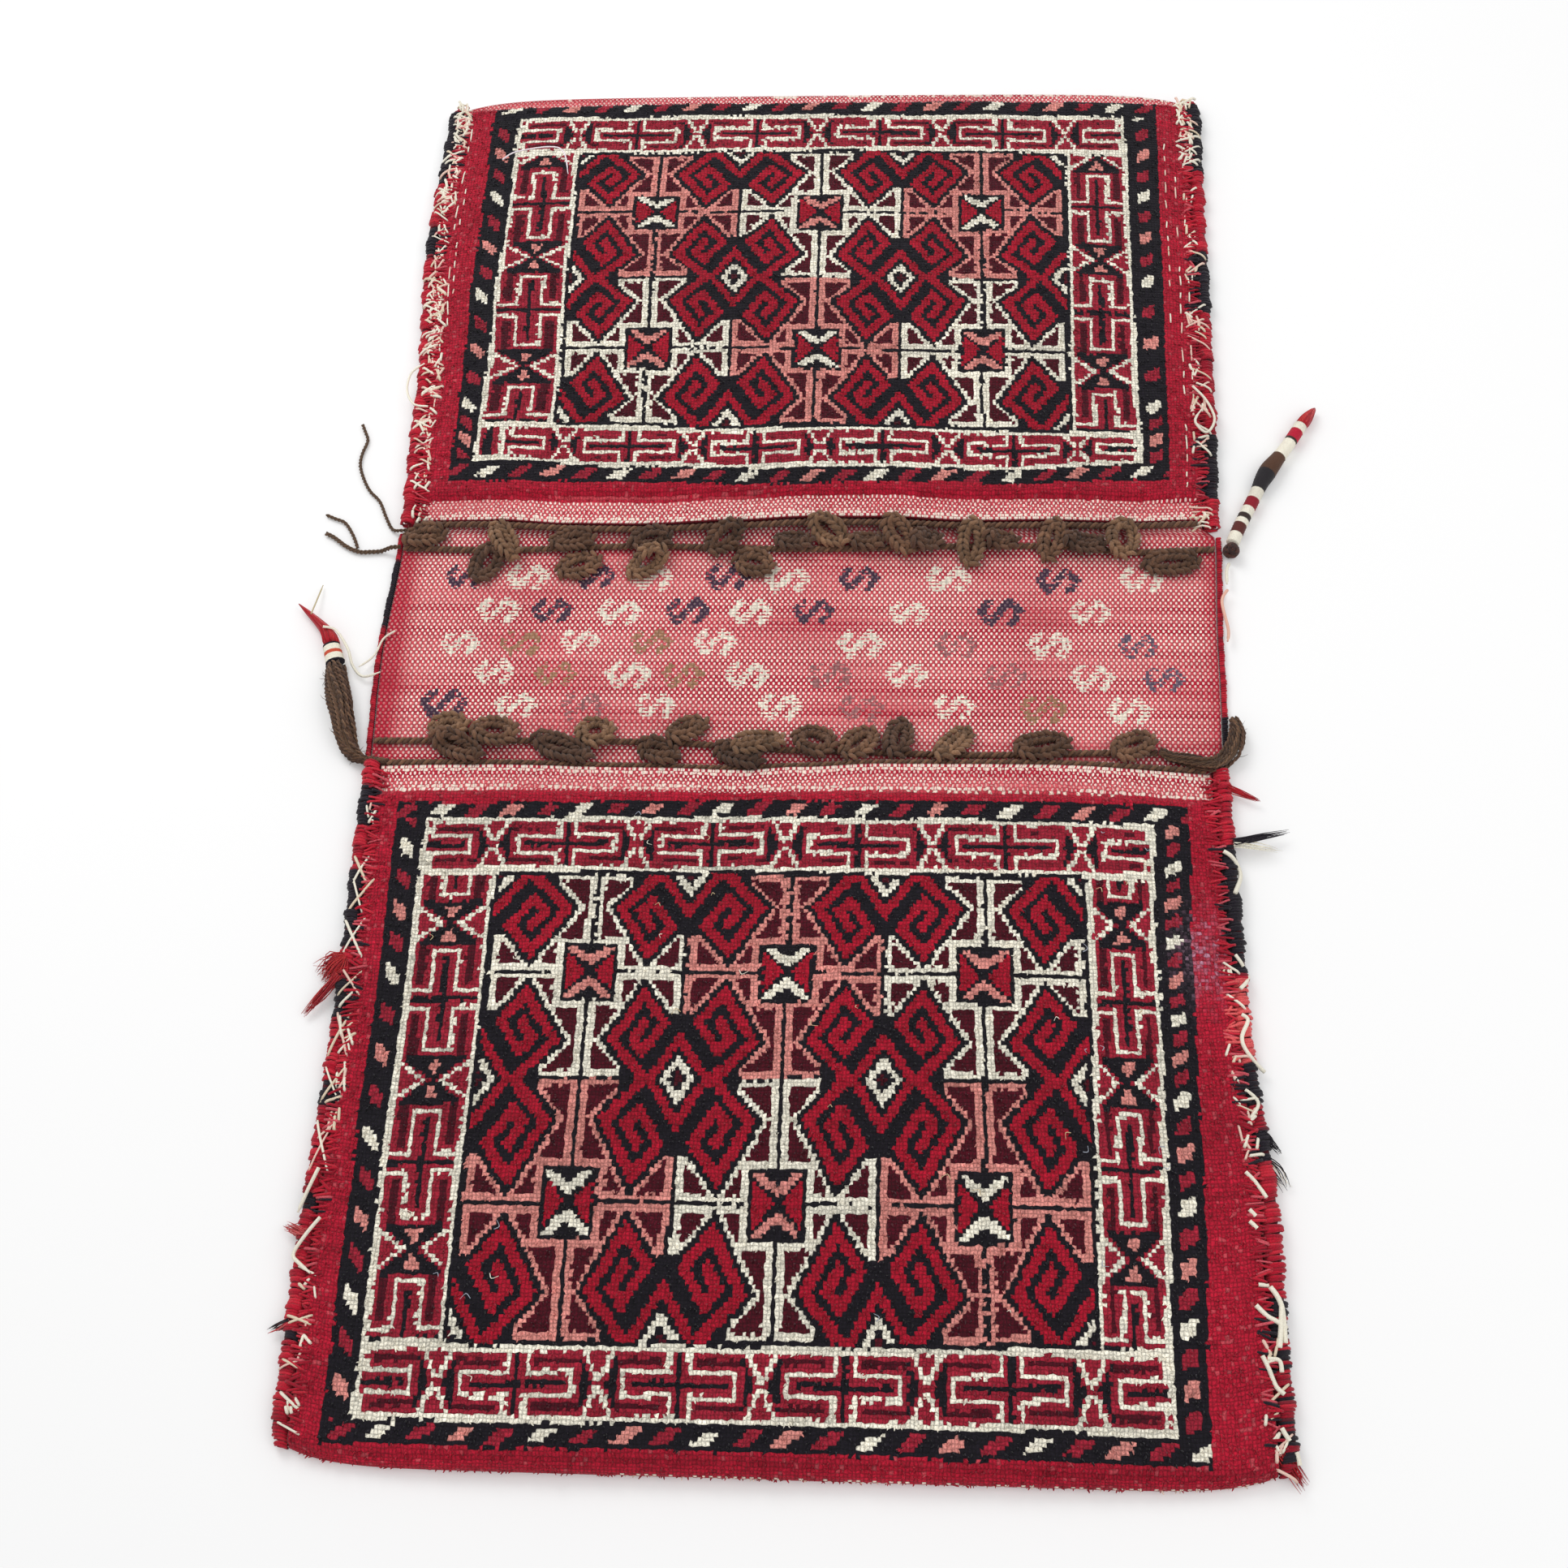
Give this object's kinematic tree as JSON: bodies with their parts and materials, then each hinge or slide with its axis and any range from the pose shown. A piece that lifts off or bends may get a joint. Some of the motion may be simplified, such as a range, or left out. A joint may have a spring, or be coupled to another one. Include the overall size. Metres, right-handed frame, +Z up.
{
  "type": "woven saddle bag",
  "caption": "Woven wool saddle bag: pile-faced pockets at both ends of a flat-woven bridge, with overcast sides, cream lacing and braided closing loops.",
  "frame": {"origin": "middle of the underside, halfway along the bag, on the surface that it lies on", "axes": "+X to the right across the bag, +Y along the bag towards the upper pocket, +Z up through the faces"},
  "size_m": [0.7358, 1.08, 0.0223],
  "materials": {
    "woven_cloth": "knotted wool pile in crimson, navy and cream, with pink-red flat weave",
    "brown_wool": "coarse braided brown wool and goat hair",
    "cream_cotton": "matt cream cotton thread",
    "navy_binding": "overcast wool in navy-black and crimson",
    "crimson_binding": "overcast wool in crimson and navy-black",
    "wrapped_thread": "wound thread in cream, dark brown and red bands",
    "red_tassel_tip": "loose red wool"
  },
  "bodies": {
    "root": {"bridge_left_edge": "navy_binding", "bridge_right_edge": "crimson_binding", "lower_bridge_cord": "brown_wool", "lower_left_binding": "navy_binding", "lower_left_hank": "brown_wool", "lower_left_lacing": "cream_cotton", "lower_left_tip": "red_tassel_tip", "lower_left_wrap": "wrapped_thread", "lower_loop_1": "brown_wool", "lower_loop_10": "brown_wool", "lower_loop_11": "brown_wool", "lower_loop_12": "brown_wool", "lower_loop_13": "brown_wool", "lower_loop_14": "brown_wool", "lower_loop_15": "brown_wool", "lower_loop_2": "brown_wool", "lower_loop_3": "brown_wool", "lower_loop_4": "brown_wool", "lower_loop_5": "brown_wool", "lower_loop_6": "brown_wool", "lower_loop_7": "brown_wool", "lower_loop_8": "brown_wool", "lower_loop_9": "brown_wool", "lower_mouth_cord": "brown_wool", "lower_right_binding": "crimson_binding", "lower_right_hank": "brown_wool", "lower_right_lacing": "cream_cotton", "upper_bridge_cord": "brown_wool", "upper_left_binding": "navy_binding", "upper_left_fork": "brown_wool", "upper_left_fork_prong": "brown_wool", "upper_left_lacing": "cream_cotton", "upper_left_tail": "brown_wool", "upper_loop_1": "brown_wool", "upper_loop_10": "brown_wool", "upper_loop_11": "brown_wool", "upper_loop_12": "brown_wool", "upper_loop_13": "brown_wool", "upper_loop_14": "brown_wool", "upper_loop_15": "brown_wool", "upper_loop_16": "brown_wool", "upper_loop_17": "brown_wool", "upper_loop_18": "brown_wool", "upper_loop_19": "brown_wool", "upper_loop_2": "brown_wool", "upper_loop_20": "brown_wool", "upper_loop_3": "brown_wool", "upper_loop_4": "brown_wool", "upper_loop_5": "brown_wool", "upper_loop_6": "brown_wool", "upper_loop_7": "brown_wool", "upper_loop_8": "brown_wool", "upper_loop_9": "brown_wool", "upper_mouth_cord": "brown_wool", "upper_right_binding": "crimson_binding", "upper_right_cord": "wrapped_thread", "upper_right_knot": "brown_wool", "upper_right_lacing": "cream_cotton", "upper_right_tip": "red_tassel_tip", "woven_bag": "woven_cloth"}
  },
  "joints": []
}
